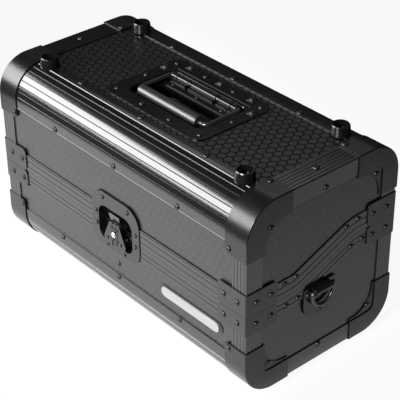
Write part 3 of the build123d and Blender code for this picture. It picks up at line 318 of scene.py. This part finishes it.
def domed_spindle(name):
    """Black spindle whose domed cap is bare and bright."""
    s = new_material(name)
    bare = 1.0 - s.place()[1].step(bare_cap_front - 0.15, bare_cap_front)
    wear = s.noise(0.8, 6.0)
    colour = s.blend(bare, grey(0.005), (0.62, 0.62, 0.63))
    return s.finish(Base_Color=colour, Roughness=0.30 - bare * 0.06 + (wear - 0.5) * 0.14, Metallic=bare,
                    Normal=s.bump(wear, 0.00002, 0.4))


def crossed_screw(name):
    """Bright screw heads with a struck cross, one in each stacking cup, the cross darkened with painted
    shade.
    """
    s = new_material(name)
    x, y = s.place()[:2]
    u = (x.abs() - cup_screw_x).abs()
    v = (y.abs() - cup_screw_y).abs()
    cross = (1.0 - u.max(v).step(cross_reach, cross_end)) * (1.0 - u.min(v).step(cross_half, cross_side))
    scratch = s.noise(1.2, 8.0, (1, 6, 1))
    # painted shade: the struck cross is near black, for the shade inside its recess
    colour = s.blend(cross, grey(0.55), grey(0.02))
    return s.finish(Base_Color=colour, Roughness=0.16 + scratch * 0.16 + cross * 0.3, Metallic=1.0,
                    Normal=s.bump(1.0 - cross, 0.0004, 1.0))


def brushed_badge(name):
    """Bare bright plate, brushed along its length."""
    s = new_material(name)
    brushing = s.noise(1.6, 6.0, (0.02, 1, 1))
    colour = s.blend((brushing - 0.3) * 2.5, (0.24, 0.24, 0.245), (0.34, 0.34, 0.345))
    return s.finish(Base_Color=colour, Roughness=0.42 + (brushing - 0.5) * 0.2, Metallic=0.25,
                    Normal=s.bump(brushing, 0.00003, 0.4))


def moulded_rubber(name):
    """Black rubber with a smooth moulded skin."""
    s = new_material(name)
    pores = s.noise(1.8, 4.0)
    cloud = s.noise(0.1, 3.0)
    colour = s.blend(cloud, grey(0.0032), grey(0.0052))
    return s.finish(Base_Color=colour, Roughness=0.17 + (cloud - 0.5) * 0.2,
                    Normal=s.bump(pores, 0.00006, 0.5))


def foam_nap(name):
    """Matt black foam with open cells."""
    s = new_material(name)
    cells = s.noise(2.4, 6.0)
    cloud = s.noise(0.05, 4.0)
    colour = s.blend(cells * 0.7 + cloud * 0.3, (0.010, 0.010, 0.011), (0.050, 0.050, 0.053))
    return s.finish(Base_Color=colour, Roughness=0.95, Normal=s.bump(cells, 0.0005, 0.8))


X, Y, Z = 0, 1, 2
board_top = honeycomb("honeycomb_top", X, Y, deep=0.00012, gap_gloss=0.05, ribbed=0.4)
board_side = honeycomb("honeycomb_side", X, Z, deep=0.00004, gap_gloss=0.80, ribbed=0.2, shadow_lines=rim_edges)
board_end = honeycomb("honeycomb_end", Y, Z, deep=0.00004, gap_gloss=0.80, ribbed=0.2)
drawn_x = anodised("anodised_along_x", X, highlight_lines=(highlight_line_height,))
drawn_rim = anodised("anodised_rims", X, dull=rim_grooves)
drawn_y = anodised("anodised_along_y", Y)
drawn_z = anodised("anodised_along_z", Z)
cap_coat = coated("cap_coating", level=0.004, rough=0.26, gloss=0.55)
bracket_coat = coated("bracket_coating", level=0.005, rough=0.30, gloss=0.7)
dish_coat = coated("dish_coating", level=0.004, rough=0.24, gloss=0.7)
wire_coat = coated("wire_coating", level=0.012, rough=0.30, gloss=1.0)
handle_coat = coated("handle_plate_coating", level=0.0025, rough=0.17, gloss=0.45)
grip_coat = coated("grip_sleeve", level=0.012, rough=0.36, gloss=1.0)
rivet_coat = coated("rivet_coating", level=0.006, rough=0.32, gloss=0.6)
spindle_coat = domed_spindle("spindle_coating")
dark_spring = plated("dark_spring", level=0.12, rough=0.3)
screw_steel = crossed_screw("screw_steel")
pin_steel = plated("pin_steel", level=0.45, rough=0.25)
badge_metal = brushed_badge("badge_metal")
holder_coat = coated("badge_holder_coating", level=0.006, rough=0.42, gloss=0.9)
rubber_skin = moulded_rubber("rubber_skin")
foam = foam_nap("foam_lining")

finishes = {
    board_top: ["top_panel", "floor_panel"],
    board_side: ["base_front_panel", "base_back_panel", "lid_front_panel", "lid_back_panel"],
    board_end: ["base_right_panel", "base_left_panel", "lid_right_panel", "lid_left_panel"],
    drawn_x: ["base_front_edge", "base_back_edge", "lid_front_edge", "lid_back_edge"],
    drawn_rim: ["base_front_rim", "base_back_rim", "lid_front_rim", "lid_back_rim"],
    drawn_y: ["base_end_angles", "lid_end_angles", "base_right_rim", "base_left_rim",
              "lid_right_rim", "lid_left_rim"],
    drawn_z: ["base_corner_posts", "lid_corner_posts"],
    cap_coat: ["base_right_caps", "base_left_caps", "lid_right_caps", "lid_left_caps"],
    bracket_coat: ["base_brackets", "lid_brackets", "base_hinge_leaves", "lid_hinge_leaves"],
    dish_coat: ["latch_dish", "keeper_dish", "ring_lugs", "wing_right", "wing_left",
                "latch_carriage", "latch_hook"],
    wire_coat: ["bail", "ring_right", "ring_left"],
    handle_coat: ["handle_dish", "handle_strip"],
    grip_coat: ["grip"],
    spindle_coat: ["latch_spindle"],
    dark_spring: ["handle_springs"],
    pin_steel: ["hinge_pins"],
    screw_steel: ["cup_screws"],
    badge_metal: ["badge_plate"],
    holder_coat: ["badge_holder"],
    rubber_skin: ["feet", "stacking_cups"],
}
for material, names in finishes.items():
    for name in names:
        nodes[name].data.materials.clear()
        nodes[name].data.materials.append(material)
        for face in nodes[name].data.polygons:
            face.material_index = 0


# Modelling helpers

def clear_selection():
    if bpy.context.object and bpy.context.object.mode != "OBJECT":
        bpy.ops.object.mode_set(mode="OBJECT")
    bpy.ops.object.select_all(action="DESELECT")


def select_only(piece):
    clear_selection()
    piece.select_set(True)
    bpy.context.view_layer.objects.active = piece


def edit_all():
    """Edit mode on the active piece, with all of it selected."""
    bpy.ops.object.mode_set(mode="EDIT")
    bpy.ops.mesh.select_all(action="SELECT")


def raise_faces(height):
    bpy.ops.mesh.extrude_region_move(TRANSFORM_OT_translate={"value": (0, 0, height)})


def taken_mesh(piece):
    """The mesh of a finished piece, whose object isn't kept."""
    bpy.ops.object.mode_set(mode="OBJECT")
    mesh = piece.data.copy()
    bpy.data.objects.remove(piece)
    return mesh


def loose_solids(mesh):
    """The points of every loose solid in a mesh."""
    work = bmesh.new()
    work.from_mesh(mesh)
    bmesh.ops.remove_doubles(work, verts=work.verts, dist=merge_distance)
    left = set(work.verts)
    found = []
    while left:
        stack = [left.pop()]
        group = set(stack)
        while stack:
            for edge in stack.pop().link_edges:
                for vert in edge.verts:
                    if vert not in group:
                        group.add(vert)
                        stack.append(vert)
        left -= group
        found.append([vert.co.copy() for vert in group])
    work.free()
    return found


def head_place(points):
    """A plain rivet head's seat, the way that it faces, its width and its thickness."""
    low = Vector([min(p[i] for p in points) for i in range(3)])
    high = Vector([max(p[i] for p in points) for i in range(3)])
    size = high - low
    axis = min(range(3), key=lambda i: size[i])
    others = [i for i in range(3) if i != axis]
    middle = (low + high) / 2

    def spread(level):
        """Radius of the ring of points at a level."""
        ring = [p for p in points if abs(p[axis] - level) < level_play]
        return max((math.sqrt(sum((p[i] - middle[i]) ** 2 for i in others)) for p in ring), default=0)

    sign = 1 if spread(high[axis]) < spread(low[axis]) else -1
    seat = middle.copy()
    seat[axis] = low[axis] if sign > 0 else high[axis]
    facing = Vector((0, 0, 0))
    facing[axis] = sign
    return seat, facing, max(size[i] for i in others), size[axis]


# Rivets

def dome_mesh():
    """One rivet head of radius 1: low dome with a rolled foot and a small struck dimple."""
    clear_selection()
    bpy.ops.mesh.primitive_circle_add(vertices=dome_sides, radius=1.0, fill_type="NGON", location=(0, 0, 0))
    head = bpy.context.object
    edit_all()
    last_radius, last_height = 1.0, 0.0
    for radius, height in dome_rings:
        raise_faces(height - last_height)
        share = radius / last_radius
        bpy.ops.transform.resize(value=(share, share, 1))
        last_radius, last_height = radius, height
    return taken_mesh(head)


def washer_mesh():
    """Square washer, a unit across, with rounded corners and a chamfered upper edge."""
    clear_selection()
    bpy.ops.mesh.primitive_plane_add(size=1.0, location=(0, 0, 0))
    plate = bpy.context.object
    edit_all()
    bpy.ops.mesh.bevel(offset=washer_corner, segments=3, affect="VERTICES")
    raise_faces(washer_side)
    raise_faces(washer_chamfer)
    bpy.ops.transform.resize(value=(washer_top, washer_top, 1))
    return taken_mesh(plate)


def rivet_field(name, node, body):
    """All the domed heads of one shell, in place of the plain ones."""
    dome = dome_mesh()
    washer = washer_mesh()
    field = bmesh.new()

    def put(source, seat, facing, scale):
        turned = Vector((0, 0, 1)).rotation_difference(facing).to_matrix().to_4x4()
        piece = source.copy()
        piece.transform(Matrix.Translation(seat) @ turned @ scale)
        field.from_mesh(piece)
        bpy.data.meshes.remove(piece)

    plain_heads = [head_place(points) for points in loose_solids(nodes[node].data)]
    plain_heads.sort(key=lambda head: tuple(round(c, 5) for c in head[0]))
    for seat, facing, width, thick in plain_heads:
        radius = width / 2
        if width > washer_least * MM:
            put(washer, seat, facing, Matrix.Scale(washer_width * MM, 4))
            radius = washer_rivet_radius * MM
            seat = seat + facing * washer_thickness * MM
            thick -= washer_thickness * MM
        put(dome, seat, facing, Matrix.Diagonal((radius, radius, thick / dome_top, 1)))
    mesh = bpy.data.meshes.new(name)
    field.to_mesh(mesh)
    field.free()
    heads = bpy.data.objects.new(name, mesh)
    bpy.context.collection.objects.link(heads)
    mesh.materials.append(rivet_coat)
    select_only(heads)
    bpy.ops.object.shade_smooth_by_angle(angle=0.9)
    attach(heads, body)
    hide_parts(node)


rivet_field("base_rivet_heads", "base_rivets", "base")
rivet_field("lid_rivet_heads", "lid_rivets", "lid")


# Foam and boss

def lining(name, node, body):
    """Foam pads with rolled edges, one for each pad of the lining."""
    piece = nodes[node].copy()
    piece.data = nodes[node].data.copy()
    piece.name = name
    piece.parent = None
    piece.matrix_world = Matrix.Identity(4)
    bpy.context.collection.objects.link(piece)
    select_only(piece)
    edit_all()
    bpy.ops.mesh.remove_doubles(threshold=merge_distance)
    bpy.ops.mesh.dissolve_limited(angle_limit=foam_flat_angle)
    bpy.ops.object.mode_set(mode="OBJECT")
    bevel = piece.modifiers.new("rolled_edges", "BEVEL")
    bevel.width = foam_edge * MM
    bevel.segments = 4
    bevel.limit_method = "ANGLE"
    bpy.ops.object.modifier_apply(modifier=bevel.name)
    piece.data.materials.clear()
    piece.data.materials.append(foam)
    bpy.ops.object.shade_smooth_by_angle(angle=0.7)
    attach(piece, body)
    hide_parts(node)


lining("base_foam", "base_lining", "base")
lining("lid_foam", "lid_lining", "lid")


def boss_cover():
    """Narrow tongue of the spindle's boss, which fills the space between the two wings."""
    clear_selection()
    bpy.ops.mesh.primitive_plane_add(size=1.0, location=(0, 0, 0))
    tongue = bpy.context.object
    tongue.name = "latch_boss_cover"
    edit_all()
    bpy.ops.transform.resize(value=(boss_width * MM, boss_height * MM, 1))
    bpy.ops.mesh.bevel(offset=boss_corner * MM, segments=6, affect="VERTICES")
    bpy.ops.mesh.inset(thickness=boss_inset * MM)
    bpy.ops.mesh.select_all(action="SELECT")
    raise_faces(boss_thickness * MM)
    bpy.ops.mesh.select_all(action="SELECT")
    bpy.ops.mesh.normals_make_consistent(inside=False)
    bpy.ops.object.mode_set(mode="OBJECT")
    upright = Matrix.Rotation(math.radians(90), 4, "X")
    tongue.data.transform(Matrix.Translation((0, boss_back * MM, spindle_height * MM)) @ upright)
    tongue.data.materials.append(dish_coat)
    select_only(tongue)
    bpy.ops.object.shade_smooth_by_angle(angle=0.6)
    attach(tongue, "latch_spindle")


boss_cover()


# Floor, lamps, world and camera

floor_radius = 9.0
white_reach = (290.0, 410.0)           # millimetres from the case over which the floor's painted pool of light turns dark
right_reach = (238.0, 262.0)           # X in millimetres over which painted shadow drops the floor to half
floor_shown = 0.93                     # share of plain white that the camera sees
floor_reflected = 0.30
case_middle = (0, 0, 0.14)
camera_place = (1.125235, -0.950329, 1.075011)
camera_yaw = -0.861                    # radians
camera_pitch = 0.574
camera_roll = -0.011
focal_pixels = 1368.775
photo_pixels = 400
sensor_mm = 36


def white_floor():
    """Floor that looks white to the camera and in reflections, and keeps a soft shadow; it carries a painted
    pool of light about the case and a painted shadow to the right of the case.
    """
    s = new_material("floor_white")
    path = s.add("ShaderNodeLightPath")
    seen = path.output("Is Camera Ray").max(path.output("Is Transmission Ray"))
    x, y = s.place()[:2]
    # painted pool of light: the floor is pale near the case and dark beyond
    near = 1.0 - (x.abs() - case_half_length).max(y.abs() - case_half_depth).step(*white_reach)
    # painted shadow: the floor to the right of the case is half as bright
    near = near * (1.0 - x.step(*right_reach) * 0.5)
    seen = (seen * floor_shown).max(path.output("Is Glossy Ray") * near * floor_reflected)
    dark = s.add("ShaderNodeBsdfDiffuse", None, {"Color": (*grey(0.04), 1)})
    pale = s.add("ShaderNodeBsdfDiffuse", None, {"Color": (*grey(0.9), 1)})
    glow = s.add("ShaderNodeEmission", None, {"Color": (*grey(1), 1), "Strength": 1.0})
    material = s.close(s.mixed(seen, s.mixed(near, dark, pale), glow))
    clear_selection()
    bpy.ops.mesh.primitive_circle_add(vertices=64, radius=floor_radius, fill_type="NGON", location=(0, 0, 0))
    floor = bpy.context.object
    floor.name = "floor"
    floor.data.materials.append(material)


def lamp(name, place, size, watts):
    """Rectangular lamp that points at the case."""
    data = bpy.data.lights.new(name, "AREA")
    data.shape = "RECTANGLE"
    data.size, data.size_y = size
    data.energy = watts
    piece = bpy.data.objects.new(name, data)
    piece.location = place
    piece.rotation_euler = (Vector(case_middle) - Vector(place)).to_track_quat("-Z", "Y").to_euler()
    bpy.context.collection.objects.link(piece)


def studio_world():
    """World that is dim on the case and white to the camera."""
    s = Shader(bpy.data.worlds.new("studio"), "ShaderNodeOutputWorld")
    dim = s.add("ShaderNodeBackground", None, {"Color": (0.9, 0.95, 1.0, 1), "Strength": 0.04})
    white = s.add("ShaderNodeBackground", None, {"Color": (*grey(1), 1), "Strength": 1.0})
    bpy.context.scene.world = s.close(s.mixed(s.add("ShaderNodeLightPath", out="Is Camera Ray"), dim, white))


def photo_camera():
    """Camera from the place and with the lens of the photograph."""
    data = bpy.data.cameras.new("photo_view")
    data.sensor_width = sensor_mm
    data.lens = focal_pixels / photo_pixels * sensor_mm
    data.clip_start = 0.05
    camera = bpy.data.objects.new("photo_view", data)
    bpy.context.collection.objects.link(camera)
    level = math.cos(camera_pitch)
    ahead = Vector((math.sin(camera_yaw) * level, math.cos(camera_yaw) * level, -math.sin(camera_pitch)))
    side = ahead.cross(Vector((0, 0, 1))).normalized()
    lift = side.cross(ahead)
    right = side * math.cos(camera_roll) + lift * math.sin(camera_roll)
    up = lift * math.cos(camera_roll) - side * math.sin(camera_roll)
    turn = Matrix((right, up, -ahead)).transposed()
    camera.matrix_world = Matrix.Translation(camera_place) @ turn.to_4x4()
    bpy.context.scene.camera = camera


white_floor()
lamp("key_softbox", (-1.49, -1.27, 0.96), (1.9, 1.0), 62)
lamp("front_fill", (0.5, -2.2, 1.3), (1.0, 0.6), 120)
lamp("back_card", (-1.06, 1.10, 1.55), (1.2, 0.35), 1.1)
lamp("right_fill", (2.2, 0.6, 0.9), (1.2, 1.0), 0.6)
studio_world()
photo_camera()
bpy.context.scene.view_settings.view_transform = "Standard"
